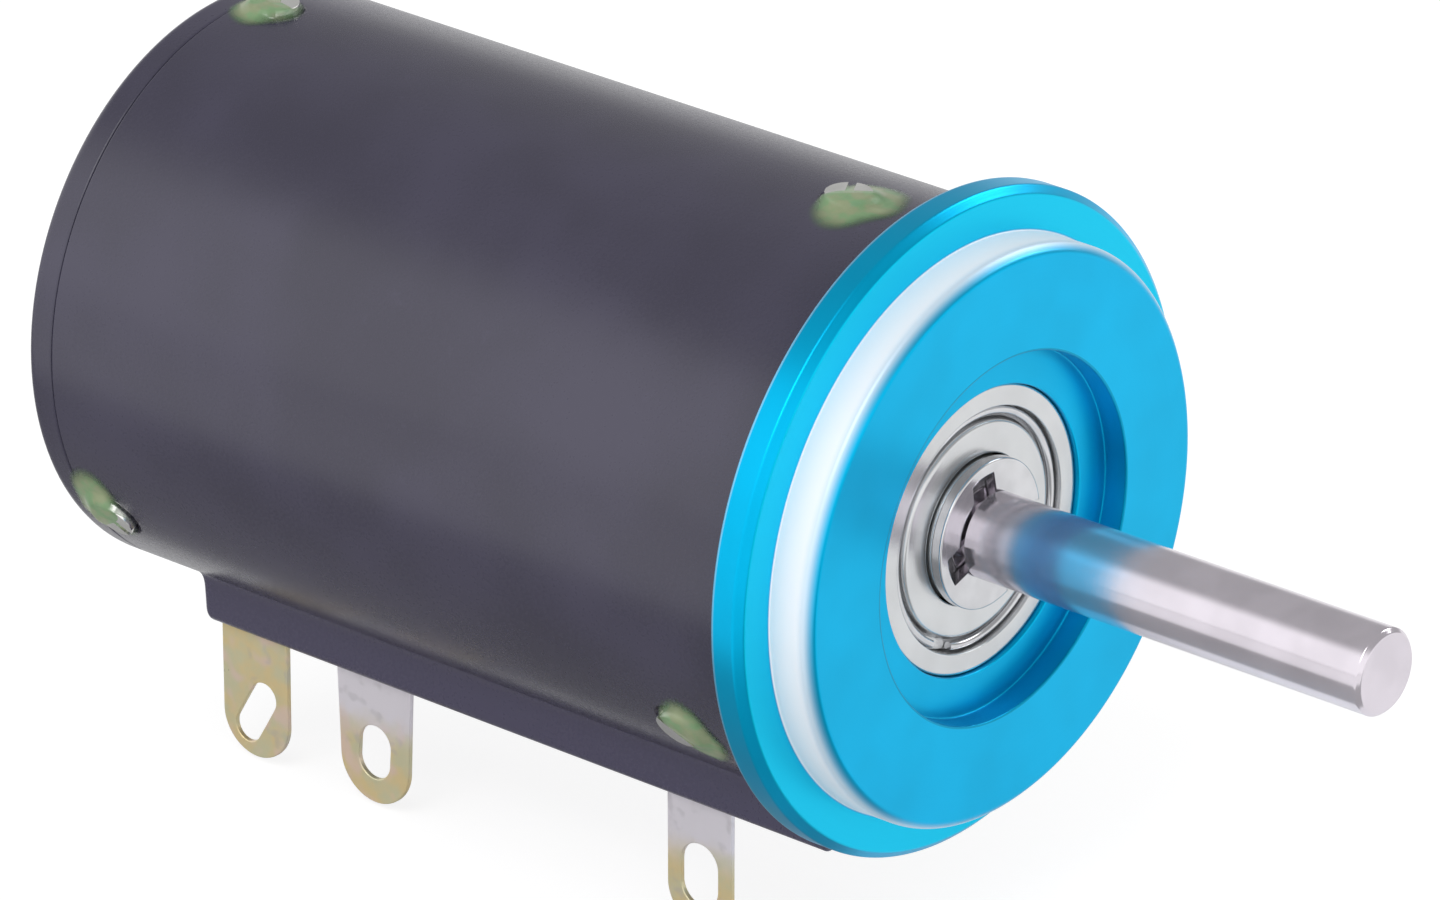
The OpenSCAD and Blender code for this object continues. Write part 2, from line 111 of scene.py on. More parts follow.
MARGIN = 0.02  # how far a tone reaches past the edge of its face
RUN_ON = 1.25  # where the first point of a flat lies, in radii from a rounded corner


# ---------- sizes and colours that a user may change ----------

def number(name, description, default, **more):
    """A property that is one number."""
    return FloatProperty(name=name, description=description, default=default, **more)


def length(name, description, default_mm):
    """A length property whose default is given in millimetres."""
    return number(name, description, default_mm / MM, min=0.0, precision=5, unit="LENGTH",
                  subtype="DISTANCE")


def direction(name, description, default_degrees):
    """An angle property whose default is given in degrees."""
    return number(name, description, math.radians(default_degrees), subtype="ANGLE")


def colour(name, description, default):
    """A colour property in scene-linear red, green and blue."""
    return FloatVectorProperty(name=name, description=description, default=default,
                               size=3, min=0.0, max=1.0, subtype="COLOR")


class HousingSettings(bpy.types.PropertyGroup):
    wall: length("Wall", "Thickness of the moulded wall", 1.5)
    edge: length("Edge", "Rounding of the tube's ends and of the cover", 0.09)
    bar_width: length("Bar width", "Width of the terminal bar", 11.2)
    bar_setback: length("Bar setback", "From the housing's rear end to the bar", 2.5)
    bar_round: length("Bar rounding", "Corner radius of the terminal bar", 0.4)
    bar_root: length("Bar root", "Reach of the fillet between tube and bar", 0.5)
    spot_radius: length("Spot face", "Radius of the seats for the screw heads", 0.95)
    spot_depth: length("Spot depth", "Depth of the seats for the screw heads", 0.25)
    moulding: colour("Moulding", "Dark moulded plastic", (0.041, 0.037, 0.066))


class FlangeSettings(bpy.types.PropertyGroup):
    thickness: length("Thickness", "Thickness of the flange disc", 1.2)
    land: length("Land", "Width of the mounting face round the pilot", 1.5)
    recess_radius: length("Recess radius", "Radius of the recess in the pilot", 6.4)
    recess_depth: length("Recess depth", "Depth of the recess in the pilot", 0.9)
    passage_radius: length("Passage radius", "Radius behind the front bearing", 3.8)
    disc_bevel: length("Disc bevel", "Bevel round the front of the disc", 0.28)
    pilot_bevel: length("Pilot bevel", "Bevel round the front of the pilot", 0.28)
    root: length("Root", "Fillet at the foot of the pilot's wall", 0.08)
    edge: length("Edge", "Rounding left where an edge is broken", 0.06)
    anodised: colour("Anodised", "Blue anodised aluminium", (0.0, 0.48, 0.82))
    land_tone: colour("Land tone", "Paler dye of the mounting face", (0.0, 0.60, 0.88))
    bare: colour("Bare", "Bare turned aluminium of the pilot's wall", (0.95, 0.96, 1.0))


class BearingSettings(bpy.types.PropertyGroup):
    ball_radius: length("Ball radius", "Radius of the balls", 0.8)
    shield_seat: length("Shield seat", "Depth of the seat for each shield", 0.62)
    shield_sink: length("Shield sink", "Depth of the shield's face", 0.14)
    sheet: length("Sheet", "Thickness of the shields", 0.14)
    wire_radius: length("Wire radius", "Radius of the snap rings' wire", 0.15)
    shield_gap: length("Shield gap", "From the inner ring to the shields", 0.08)
    steel: colour("Steel", "Polished bearing steel", (0.68, 0.69, 0.70))


class ShaftSettings(bpy.types.PropertyGroup):
    chamfer: length("Chamfer", "Chamfer at both ends of the shaft", 0.15)
    groove_radius: length("Groove radius", "Radius left in the retaining ring's groove", 1.0)
    groove_play: length("Groove play", "Room in the groove beyond the ring", 0.1)
    mouth: direction("Mouth", "Way that the retaining ring opens", -30)
    window_angle: direction("Windows", "From the ring's mouth to each of its windows", 131)
    ground: colour("Ground steel", "Ground stainless steel", (0.72, 0.67, 0.73))


class TerminalSettings(bpy.types.PropertyGroup):
    eye_width: length("Eye width", "Width of the rearmost lug's wire slot", 1.15)
    eye_length: length("Eye length", "Length of the rearmost lug's wire slot", 2.6)
    eye_height: length("Eye height", "From that lug's tip to its slot's centre", 1.7)
    gold: colour("Gold", "Thin gold plate", (0.84, 0.68, 0.37))
    tarnish: colour("Tarnish", "Greener gold where the plate has aged", (0.73, 0.69, 0.46))
    blush: colour("Blush", "Pinkish gold where the plate is thin", (0.88, 0.68, 0.58))
    silver: colour("Silver", "Silver under-plate", (0.88, 0.84, 0.90))


class LacquerSettings(bpy.types.PropertyGroup):
    film: length("Film", "Thickness of the dried lacquer", 0.12)
    green: colour("Green", "Green thread-lock lacquer", (0.24, 0.40, 0.20))
    olive: colour("Olive", "Browner green of its cloudy patches", (0.30, 0.35, 0.20))


class StageSettings(bpy.types.PropertyGroup):
    azimuth: direction("Azimuth", "Camera's direction round the part", 40.248)
    elevation: direction("Elevation", "Camera's height angle", 24.634)
    distance: length("Distance", "From the camera to its aim", 350)
    aim: FloatVectorProperty(name="Aim", description="Point in the middle of the view",
                             default=(-0.00604, -0.00528, 0.00276), subtype="TRANSLATION")
    lens: number("Lens", "Focal length in millimetres", 267.89)
    floor_drop: length("Floor drop", "From the lugs' tips to the floor", 0.2)
    walls: number("Walls", "Brightness of the light tent's walls", 1.2)
    ceiling: number("Ceiling", "Brightness of its ceiling", 0.45)
    paper: number("Paper", "Grey of the floor as a surface", 0.85)


class PotentiometerSettings(bpy.types.PropertyGroup):
    housing: PointerProperty(type=HousingSettings)
    flange: PointerProperty(type=FlangeSettings)
    bearing: PointerProperty(type=BearingSettings)
    shaft: PointerProperty(type=ShaftSettings)
    terminal: PointerProperty(type=TerminalSettings)
    lacquer: PointerProperty(type=LacquerSettings)
    stage: PointerProperty(type=StageSettings)


def settings():
    """The sizes and colours in use."""
    return bpy.context.scene.potentiometer


# ---------- surfaces worked out as arrays, in millimetres ----------

def rounded(points, radii, steps=4):
    """Outline with its corners bent round; a corner of radius 0 stays as it is.

    Each corner is cut back along both its sides by its radius, and the cuts are joined
    by the parabola corner + (1 - s)^2 back + s^2 ahead, with s from 0 to 1. One more
    point stands a quarter further along each side, so flat stretches keep their normals.
    """
    largest_cut = 0.38  # of the shorter side
    corner = np.array(points, float)
    sides = np.stack([np.roll(corner, way, axis=0) - corner for way in (1, -1)])
    lengths = np.linalg.norm(sides, axis=2, keepdims=True)
    cut = np.minimum(np.array(radii)[:, None], largest_cut * lengths.min(axis=0))
    back, ahead = sides / lengths * cut
    s = np.linspace(0, 1, steps + 1)[:, None, None]
    bend = corner + (1 - s) ** 2 * back + s ** 2 * ahead
    rows = [[corner + RUN_ON * back], bend, [corner + RUN_ON * ahead]]
    line = np.concatenate(rows).transpose(1, 0, 2).reshape(-1, 2)
    moved = np.linalg.norm(np.diff(line, axis=0, prepend=line[-1:]), axis=1) > 1e-9
    return line[moved]


def around(x, radius, angle):
    """Points (x, radius cos angle, radius sin angle) round the shaft axis."""
    x, radius, angle = np.broadcast_arrays(x, radius, angle)
    return np.stack([x, radius * np.cos(angle), radius * np.sin(angle)], axis=-1)


def turned(outline, sides=192):
    """Outline of (x, radius) points carried round the shaft axis."""
    x, radius = np.asarray(outline)[:, :, None].transpose(1, 0, 2)
    return around(x, radius, np.linspace(0, 2 * np.pi, sides, endpoint=False))


def ray_to_side(side, share):
    """How far a ray goes to a straight side, when a share of its length leads there."""
    return side / np.maximum(share, 1e-6)


def ray_to_round(along, centre_sq, radius):
    """How far a ray goes to the far side of a circle: the root of |s e - q| = r.

    along is the product e q of the ray's direction and the circle's centre, and
    centre_sq is q^2, so the root is e q + sqrt((e q)^2 - q^2 + r^2).
    """
    return along + np.sqrt(np.maximum(along ** 2 - centre_sq + radius ** 2, 0))


def eased(share):
    """3 s^2 - 2 s^3 for the share s, which is first held between 0 and 1."""
    s = np.clip(share, 0, 1)
    return s * s * (3 - 2 * s)


def edge_section(inner, outer, thickness, edge):
    """Closed sections of a plate, from its inner to its outer outline, with soft edges.

    inner and outer are the outlines' distances, one a section. Each section is a
    rectangle of the plate's thickness whose corners follow the same parabola as in
    rounded(). The result holds distances and heights, each of shape (sections, points).
    """
    s = np.linspace(0, 1, 4)
    along = np.concatenate([[RUN_ON], (1 - s) ** 2, [0]]) * edge
    up = thickness / 2 - np.concatenate([[0], s ** 2, [RUN_ON]]) * edge
    height = np.concatenate([up, -up[::-1], -up, up[::-1]])
    inset = np.concatenate([along, along[::-1]])
    distance = np.concatenate([inner[:, None] + inset, outer[:, None] - inset], axis=1)
    return distance, np.broadcast_to(height, distance.shape)


def close_ends(grid):
    """Adds the middle of the first and the last section, so that both ends are closed."""
    first, last = [np.broadcast_to(end.mean(axis=0), end.shape) for end in grid[[0, -1]]]
    return np.concatenate([[first], grid, [last]])


def grid_faces(rows, columns, ring_rows):
    """Corner numbers of the quads between neighbouring rows and columns of a grid."""
    index = np.arange(rows * columns).reshape(rows, columns)
    index = np.hstack([index, index[:, :1]])
    if ring_rows:
        index = np.vstack([index, index[:1]])
    corners = [index[:-1, :-1], index[1:, :-1], index[1:, 1:], index[:-1, 1:]]
    return np.stack(corners, axis=-1).reshape(-1, 4)


def new_object(name, data):
    """Makes an object and puts it into the scene."""
    made = bpy.data.objects.new(name, data)
    bpy.context.scene.collection.objects.link(made)
    return made


def add_piece(name, grids, slot, body="body", ring_rows=True, sharp=38, values=None):
    """Makes one object of closed surfaces, each given as a grid of points in millimetres.

    The columns of a grid always close into rings. Edges bent by more than sharp degrees
    stay sharp. values, where given, holds numbers for each grid's points, which are kept
    as the attribute "depth".
    """
    points, faces, start = [], [], 0
    for grid in grids:
        points.append(grid.reshape(-1, 3) / MM)
        faces.append(grid_faces(*grid.shape[:2], ring_rows) + start)
        start += grid.shape[0] * grid.shape[1]
    mesh = bpy.data.meshes.new(name)
    mesh.from_pydata(np.concatenate(points).tolist(), [], np.concatenate(faces).tolist())
    if values is not None:
        depth = mesh.attributes.new("depth", "FLOAT", "POINT")
        depth.data.foreach_set("value", np.concatenate([v.ravel() for v in values]))
    shell = bmesh.new()
    shell.from_mesh(mesh)
    bmesh.ops.remove_doubles(shell, verts=shell.verts, dist=2e-7)
    bmesh.ops.recalc_face_normals(shell, faces=shell.faces)
    shell.to_mesh(mesh)
    shell.free()
    mesh.shade_smooth()
    mesh.set_sharp_from_angle(angle=math.radians(sharp))
    mesh.materials.append(FINISHES[slot])
    piece = new_object(name, mesh)
    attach(piece, body)
    return piece


# ---------- shader building ----------

def arithmetic(operation, swapped=False):
    """A method of Socket that stands for one of Python's operators."""
    def method(self, other):
        return self.math(operation, *((other, self) if swapped else (self, other)))
    return method


class Socket:
    """An output of a node, on which Python's arithmetic adds Math nodes."""

    def __init__(self, finish, output):
        self.finish = finish
        self.output = output

    def other(self, output):
        """Another output of the same node."""
        return Socket(self.finish, self.output.node.outputs[output])

    def math(self, operation, *values):
        """Adds a Math node over the values."""
        inputs = dict(enumerate(values))
        return self.finish.node("ShaderNodeMath", {"operation": operation}, inputs)

    __add__ = arithmetic("ADD")
    __radd__ = arithmetic("ADD", swapped=True)
    __sub__ = arithmetic("SUBTRACT")
    __rsub__ = arithmetic("SUBTRACT", swapped=True)
    __mul__ = arithmetic("MULTIPLY")
    __rmul__ = arithmetic("MULTIPLY", swapped=True)
    __truediv__ = arithmetic("DIVIDE")
    __pow__ = arithmetic("POWER")
    __gt__ = arithmetic("GREATER_THAN")
    __lt__ = arithmetic("LESS_THAN")

    def __abs__(self):
        return self.math("ABSOLUTE", self)

    def step(self, low_end, high_end):
        """Goes smoothly from 0 at low_end to 1 at high_end."""
        return self.finish.node("ShaderNodeMapRange", {"interpolation_type": "SMOOTHSTEP"},
                                {"Value": self, "From Min": low_end, "From Max": high_end})


class Shader:
    """A node tree under construction."""

    def __init__(self, tree):
        self.tree = tree
        self.tree.nodes.clear()

    def feed(self, socket, value):
        """Links a socket to another one's output, or sets it to a constant."""
        if isinstance(value, Socket):
            self.tree.links.new(value.output, socket)
        else:
            socket.default_value = value

    def node(self, kind, put=None, inputs=None, output=0):
        """Adds a node, sets its settings, then its inputs' values or links."""
        made = self.tree.nodes.new(kind)
        for key, value in (put or {}).items():
            setattr(made, key, value)
        for key, value in (inputs or {}).items():
            self.feed(made.inputs[key], value)
        return Socket(self, made.outputs[output])

    def end(self, kind, surface):
        """Adds the output node and links the surface to it."""
        self.tree.links.new(surface.output, self.tree.nodes.new(kind).inputs[0])

    def mix(self, factor, first, second):
        """Mixes two colours."""
        return self.node("ShaderNodeMix", {"data_type": "RGBA"},
                         {0: factor, 6: opaque(first), 7: opaque(second)}, output=2)


class Finish(Shader):
    """A material with one Principled shader and helpers for machined surfaces."""

    def __init__(self, name, **constants):
        FINISHES[name] = bpy.data.materials.new(name)
        FINISHES[name].use_nodes = True
        super().__init__(FINISHES[name].node_tree)
        self.principled = self.tree.nodes.new("ShaderNodeBsdfPrincipled")
        self.end("ShaderNodeOutputMaterial", Socket(self, self.principled.outputs[0]))
        self.place = self.node("ShaderNodeTexCoord", output=3)
        split = self.node("ShaderNodeSeparateXYZ", inputs={0: self.place})
        self.x, self.y, self.z = [split.other(axis) * MM for axis in range(3)]
        self.radius = (self.y * self.y + self.z * self.z) ** 0.5
        self.set(**constants)

    def set(self, **values):
        """Sets the shader's sockets; an underscore in a name stands for a space."""
        for name, value in values.items():
            self.feed(self.principled.inputs[name.replace("_", " ")], value)

    def noise(self, scale_mm, detail=3.0, roughness=0.5, stretch=(1, 1, 1)):
        """Noise from 0 to 1 whose features are about scale_mm across."""
        spread = self.node("ShaderNodeMapping", inputs={"Vector": self.place,
                           "Scale": tuple(s * MM / scale_mm for s in stretch)})
        return self.node("ShaderNodeTexNoise", inputs={"Vector": spread, "Scale": 1.0,
                         "Detail": detail, "Roughness": roughness})

    def line_noise(self, value, scale_mm):
        """Noise from 0 to 1 that changes only with one value, as tool marks do."""
        return self.node("ShaderNodeTexNoise", {"noise_dimensions": "1D"},
                         {"W": value / scale_mm, "Scale": 1.0, "Detail": 4.0, "Roughness": 0.65})

    def bump(self, height, depth_mm):
        """Normal of a relief that is depth_mm deep where height goes from 0 to 1."""
        return self.node("ShaderNodeBump", inputs={"Height": height, "Strength": 1.0,
                         "Distance": depth_mm / MM})


def opaque(shade):
    """A colour with full alpha, or the socket that already carries one."""
    if isinstance(shade, Socket):
        return shade
    return (*shade, 1.0)


def shaded(base, factor):
    """A colour made lighter or darker by a number, with no channel above 1."""
    return tuple(min(1.0, channel * factor) for channel in base)


# ---------- finishes ----------

def moulded_plastic(name, base, roughness):
    """Satin moulded plastic: a fine grain, slow changes of tone, some dust, and a bar painted
    paler as a painted reflection.
    """
    f = Finish(name, IOR=1.58)
    slow = f.noise(6.0, detail=2.0)
    grain = f.noise(0.16, detail=4.0, roughness=0.6)
    tone = f.mix(slow.step(0.3, 0.7), shaded(base, 0.86), shaded(base, 1.14))
    # Painted reflection: the bar is made paler to stand in for the brighter reflection that its
    # sides show.
    bar = (f.radius > HOUSING_R + MARGIN) * (f.z < 0)
    tone = f.mix(bar, tone, shaded(base, 1.5))
    dust = f.noise(0.9, detail=5.0, roughness=0.7).step(0.62, 0.8)
    f.set(Base_Color=f.mix(dust * 0.25, tone, shaded(base, 1.9)),
          Roughness=roughness + (grain - 0.5) * 0.14 + (slow - 0.5) * 0.1,
          Normal=f.bump(grain, 0.0016))


def anodised_aluminium(flange):
    """Turned aluminium, anodised blue, with the pilot's wall left bare.

    The recess is painted darker in its corner and at its mouth, as painted shade. The
    mounting face is paler. The disc's rear edge has a painted highlight, and the bare
    wall's colour fades towards the pilot's front as a painted fade of its highlight.
    """
    f = Finish("blue_anodised")
    pilot_r, recess_r = FLANGE_R - flange.land * MM, flange.recess_radius * MM
    root, bevel = flange.root * MM, flange.pilot_bevel * MM
    recess_floor = PILOT_H - flange.recess_depth * MM
    lip, corner_shade_far, corner_shade_near = 0.08, 0.45, 0.1
    foot, highlight_fade, highlight_fade_end = 0.03, 0.35, 0.25
    rear_rim, rear_line = 0.1, 0.12

    rings = f.line_noise(f.radius, 0.11) + f.line_noise(f.x, 0.09)
    slow = f.noise(4.0, detail=2.0)
    blue = flange.anodised
    dye = f.mix(slow.step(0.25, 0.75), shaded(blue, 0.93), shaded(blue, 1.05))
    # Painted shade: the recess's corner and a thin line round its mouth are darkened, as shade
    # that falls there.
    corner = f.radius.step(recess_r - corner_shade_far, recess_r - corner_shade_near)
    corner = corner * (f.radius < recess_r + MARGIN)
    corner = corner * (f.x < PILOT_H - lip) * (f.x > recess_floor - MARGIN)
    mouth = (f.radius > recess_r - lip) * (f.radius < recess_r + lip) * (f.x > PILOT_H - lip)
    dye = f.mix(corner * 0.25 + mouth * 0.4, dye, shaded(blue, 0.25))
    land = (f.radius > pilot_r + root) * (f.x > -MARGIN)
    dye = f.mix(land, dye, flange.land_tone)
    # Painted highlight: a thin paler line along the disc's rear edge, where its chamfer catches
    # the light.
    rear_edge_highlight = (f.radius > FLANGE_R - rear_rim) * (f.x < rear_line - flange.thickness * MM)
    dye = f.mix(rear_edge_highlight * 0.2, dye, flange.bare)

    wall = f.radius.step(pilot_r - bevel, pilot_r - MARGIN) * (f.radius < pilot_r + root)
    # The bare wall is real, but its colour fading into the blue towards the front is a painted
    # fade that copies how its highlight dies out.
    front = f.x.step(PILOT_H - bevel - highlight_fade, PILOT_H + highlight_fade_end)
    wall = wall * f.x.step(0.0, foot) * (1 - front)
    f.set(Base_Color=f.mix(wall, dye, flange.bare),
          Roughness=0.36 + (rings - 1.0) * 0.12 + wall * 0.15, Metallic=0.93 - 0.78 * wall,
          Normal=f.bump(rings, 0.0016))


def turned_steel(name, base, roughness, mark_mm, depth_mm):
    """Bright steel with fine marks round the shaft axis, on faces and on walls."""
    f = Finish(name, Metallic=0.9)
    marks = f.line_noise(f.radius, mark_mm) + f.line_noise(f.x, mark_mm)
    slow = f.noise(1.6, detail=2.0)
    f.set(Base_Color=f.mix(slow.step(0.3, 0.7), shaded(base, 0.95), shaded(base, 1.04)),
          Roughness=roughness + (marks - 1.0) * 0.1 + (slow - 0.5) * 0.05,
          Normal=f.bump(marks, depth_mm))


def stamped_metal(name, base, roughness):
    """Rolled sheet or wire with a faint grain and small tone changes."""
    f = Finish(name, Metallic=1.0)
    grain = f.noise(0.3, detail=4.0, stretch=(0.25, 1, 1))
    slow = f.noise(1.2, detail=2.0)
    f.set(Base_Color=f.mix(slow.step(0.3, 0.7), shaded(base, 0.9), shaded(base, 1.06)),
          Roughness=roughness + (grain - 0.5) * 0.2, Normal=f.bump(grain, 0.002))


def lug_plate(terminal):
    """Thin gold over silver plate: gold at the tips, silver near the bar.

    The rearmost lug is gold up to the bar. The border between the two wanders with the
    same slow noise that turns the gold greener.
    """
    f = Finish("lug_plating", Metallic=0.55)
    cloud = f.noise(1.3, detail=3.0, roughness=0.55)
    behind = (high("terminal_slider")[0] + low("terminal_rear")[0]) / 2
    out_of_reach, wander, gold_below, silver_above = 6.0, 1.8, 1.9, 0.3
    height = f.z + cloud * wander - (f.x < behind) * out_of_reach
    silver = height.step(BAR_BOTTOM - gold_below, BAR_BOTTOM - silver_above)
    patches = f.noise(0.9, detail=1.0)
    gold = f.mix(cloud.step(0.35, 0.65), terminal.tarnish, terminal.gold)
    gold = f.mix(patches.step(0.5, 0.72) * 0.8, gold, terminal.blush)
    stain = f.noise(0.8, detail=2.0).step(0.58, 0.72)
    plate = f.mix(silver, gold, terminal.silver)
    grain = f.noise(0.25, detail=4.0, stretch=(1, 1, 0.2))
    f.set(Base_Color=f.mix(stain * 0.35, plate, shaded(terminal.silver, 0.6)),
          Roughness=0.34 + (grain - 0.5) * 0.25 + (cloud - 0.5) * 0.1,
          Normal=f.bump(grain, 0.003))


def wound_wire(name, base):
    """Fine wire wound round the mandrel, its turns side by side along the helix."""
    f = Finish(name, Metallic=1.0, Roughness=0.35)
    wires_per_radian = 260.0
    phase = f.z.math("ARCTAN2", f.z, f.y) * wires_per_radian
    f.set(Base_Color=f.mix(f.noise(2.0), shaded(base, 0.8), shaded(base, 1.1)),
          Normal=f.bump(phase.math("SINE", phase), 0.01))


def dried_lacquer(lacquer):
    """Glossy green film, cloudy where it is thick and clear at its thin rim."""
    f = Finish("thread_lock_lacquer", IOR=1.45, Roughness=0.3)
    depth = f.node("ShaderNodeAttribute", {"attribute_name": "depth"}, output=2)
    cloud = f.noise(0.7, detail=3.0)
    tone = f.mix(cloud.step(0.42, 0.58), lacquer.green, lacquer.olive)
    f.set(Base_Color=f.mix(depth.step(0.0, 0.7), shaded(lacquer.green, 0.7), tone),
          Alpha=(0.85 + (cloud - 0.5) * 0.6) * depth.step(0.0, 0.75),
          Normal=f.bump(f.noise(0.35, detail=2.0), 0.012))


# ---------- one operator for each piece or group of pieces, after what it calls ----------

class BuildFinishes(bpy.types.Operator):
    """Makes the finishes and gives every CAD node the one of its slot"""

    bl_idname = "potentiometer.finishes"
    bl_label = "Finishes"

    def execute(self, context):
        s = settings()
        moulded_plastic("housing_plastic", s.housing.moulding, 0.28)
        moulded_plastic("rotor_plastic", (0.022, 0.020, 0.024), 0.45)
        moulded_plastic("carriage_plastic", (0.75, 0.69, 0.56), 0.4)
        anodised_aluminium(s.flange)
        turned_steel("ground_steel", s.shaft.ground, 0.16, 0.05, 0.0005)
        turned_steel("bearing_steel", s.bearing.steel, 0.24, 0.08, 0.0006)
        stamped_metal("spring_steel", (0.66, 0.66, 0.68), 0.16)
        stamped_metal("cage_steel", (0.42, 0.33, 0.20), 0.35)
        stamped_metal("contact_brass", (0.66, 0.46, 0.17), 0.25)
        stamped_metal("screw_nickel", (0.94, 0.94, 0.91), 0.16)
        wound_wire("resistance_wire", (0.36, 0.21, 0.10))
        lug_plate(s.terminal)
        dried_lacquer(s.lacquer)
        for part in frame["record"]["subparts"]:
            mesh = frame["nodes"][part["node"]].data
            mesh.materials.clear()
            mesh.materials.append(FINISHES[part["material_slot"]])
        return {"FINISHED"}


def bar_corner(s):
    """Centre of the corner rounding on the bar's +Y side, and its radius."""
    c = s.bar_round * MM
    return s.bar_width * MM / 2 - c, BAR_BOTTOM + c, c


def housing_outline(angle, s):
    """Distance from the axis to the housing's outline with the bar.

    It is the larger of the round and the bar, and the bar is the smaller of its
    side, w / 2 / |cos a|, and its bottom, h / |sin a|, or else its rounded corner.
    Where the round and the bar differ by d < k, the fillet between them adds
    (k - d)^2 / 4k.
    """
    cy, cz, c = bar_corner(s)
    across, up = np.abs(np.cos(angle)), np.sin(angle)
    side = ray_to_side(cy + c, across)
    bottom = ray_to_side(-BAR_BOTTOM, -up)
    corner = ray_to_round(across * cy + up * cz, cy ** 2 + cz ** 2, c)
    tilt = np.arctan2(-up, across)
    at_corner = (tilt > math.atan2(-cz, cy + c)) & (tilt < math.atan2(c - cz, cy))
    bar = np.where(at_corner, corner, np.minimum(side, bottom))
    blend = s.bar_root * MM
    near = np.maximum(blend - np.abs(bar - HOUSING_R), 0)
    joined = np.maximum(HOUSING_R, bar) + near ** 2 / (4 * blend)
    return np.where(up < 0, joined, HOUSING_R)


def housing_columns(s):
    """Angles of the grid's lines, close together at the screws and the bar's edges.

    Of two lines that nearly meet only the later one stays.
    """
    cy, cz, c = bar_corner(s)
    foot = -math.acos((cy + c) / HOUSING_R)
    low_wall = math.atan2(cz, cy + c)
    low_side = math.atan2(cz - c, cy)
    fillet, seat, closest = 0.032, math.radians(6.4), 4e-4
    right = np.concatenate([
        np.linspace(foot, low_wall, 5), np.linspace(low_wall, low_side, 8),
        np.linspace(low_side, -math.pi / 2, 10), foot + np.linspace(-fillet, fillet, 13)])
    left = -math.pi - right
    round_part = np.radians(np.arange(-56, 236, 2.0))
    seats = [math.radians(a) + np.linspace(-seat, seat, 33) for a in SCREW_ANGLES]
    every = np.concatenate([right, left, round_part, *seats])
    every = np.unique(np.round(np.mod(every, 2 * np.pi), 5))
    near = np.append(np.diff(every), 1.0) < closest
    return every[~near]


def housing_rows(s):
    """Places along the shaft, the bar's share there and how far the edge is sunk.

    The rows lie close together at both ends, at the screws and at the bar's rear end,
    whose rounding is a quarter of an ellipse. The housing's own ends are rounded by a
    quarter of a circle: at a distance d from an end, less than the edge e, the surface
    is sunk by e - sqrt(e^2 - (e - d)^2).
    """
    edge, bar_rear = s.edge * MM, HOUSING_REAR + s.bar_setback * MM
    seat, nose, nose_rise, root_x = 1.12, 0.25, 0.22, 0.04
    clear_before, clear_after = 0.05, 0.35
    end = np.array([0, 0.04, 0.14, 0.3, 0.55, 1.0, 1.3]) * edge
    fine = [middle + np.linspace(-seat, seat, 33) for middle in SCREW_SETS.values()]
    x = np.concatenate([HOUSING_REAR + end, HOUSING_FRONT - end, *fine,
                        np.arange(bar_rear + 1, HOUSING_FRONT - 1, 1.0)])
    x = np.unique(np.round(x, 4))
    turn = np.linspace(0, np.pi / 2, 6)
    nose_x = bar_rear + nose * (1 - np.cos(turn))
    nose_share = 1 - nose_rise * (1 - np.sin(turn))
    root = np.array([bar_rear - root_x, bar_rear - root_x / 4, bar_rear, bar_rear])
    root_share = np.array([0, 0, 0.02, 0.06])
    before, after = x[x < bar_rear - clear_before], x[x > bar_rear + clear_after]
    x = np.concatenate([before, root, nose_x, after])
    share = np.concatenate([0 * before, root_share, nose_share, 0 * after + 1])
    from_end = np.minimum(x - HOUSING_REAR, HOUSING_FRONT - x)
    inside = np.clip(1 - from_end / edge, 0, 1)
    return x, share, edge * (1 - np.sqrt(1 - inside ** 2))


def sink_screw_seats(shell, s):
    """Lowers the surface to a flat seat within the spot radius of each screw.

    A point there moves along the screw's axis by as much as it stands above the seat.
    The share of this move eases from 1 to 0 across the seat's edge.
    """
    floor, soft = HOUSING_R - s.spot_depth * MM, 0.05
    for screw_x in SCREW_SETS.values():
        for degrees in SCREW_ANGLES:
            a = math.radians(degrees)
            out = shell[..., 1] * math.cos(a) + shell[..., 2] * math.sin(a)
            side = shell[..., 2] * math.cos(a) - shell[..., 1] * math.sin(a)
            away = np.hypot(shell[..., 0] - screw_x, side)
            share = eased((s.spot_radius * MM + soft - away) / (2 * soft))
            drop = share * np.maximum(out - floor, 0)
            shell[..., 1] -= drop * math.cos(a)
            shell[..., 2] -= drop * math.sin(a)


class BuildHousing(bpy.types.Operator):
    """Builds the moulded tube with its terminal bar, screw seats and rounded edges"""

    bl_idname = "potentiometer.housing"
    bl_label = "Housing"

    def execute(self, context):
        s = settings().housing
        angle = housing_columns(s)
        x, share, sink = housing_rows(s)
        outer = housing_outline(angle, s)
        reach = HOUSING_R + share[:, None] * (outer - HOUSING_R) - sink[:, None]
        shell = around(x[:, None], reach, angle)
        sink_screw_seats(shell, s)
        bore, lip = HOUSING_R - s.wall * MM, 0.05
        ends = np.array([[HOUSING_FRONT, bore + lip], [HOUSING_FRONT, bore],
                         [HOUSING_REAR, bore], [HOUSING_REAR, bore + lip]])
        inside = around(ends[:, :1], ends[:, 1:], angle)
        grid = np.concatenate([shell, inside])
        piece = add_piece("housing_moulding", [grid], "housing_plastic")
        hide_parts("housing")
        return {"FINISHED"}


